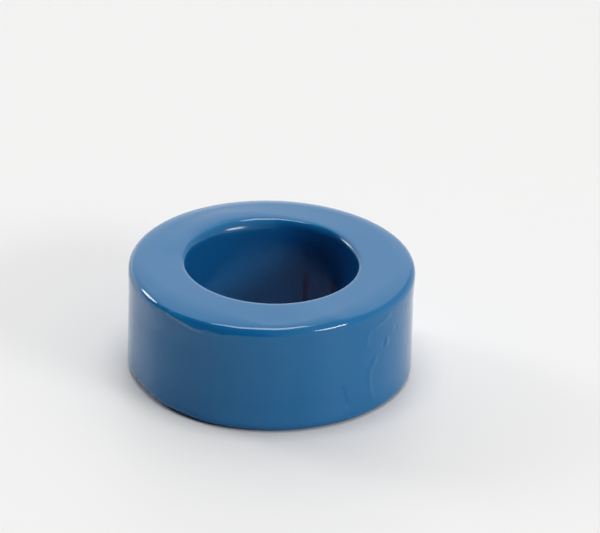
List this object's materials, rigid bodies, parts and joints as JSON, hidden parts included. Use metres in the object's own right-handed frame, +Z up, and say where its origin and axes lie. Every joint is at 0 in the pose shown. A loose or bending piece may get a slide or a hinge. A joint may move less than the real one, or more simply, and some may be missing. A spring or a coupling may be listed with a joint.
{
  "type": "nanocrystalline toroidal core",
  "caption": "Wound soft-magnetic ring in a blue epoxy coat, with a round bore for the windings of a transformer or choke.",
  "frame": {"origin": "middle of the lower face, on the ring's axis", "axes": "+Z up along the ring's axis"},
  "size_m": [0.0512, 0.0512, 0.0208],
  "materials": {
    "epoxy_coating": "glossy blue epoxy, melted on from powder, with slight runs and specks",
    "ribbon_core": "grey wound metal ribbon, its turns showing as fine lines on the faces"
  },
  "bodies": {
    "root": {"epoxy_coating": "epoxy_coating", "ribbon_core": "ribbon_core"}
  },
  "joints": []
}
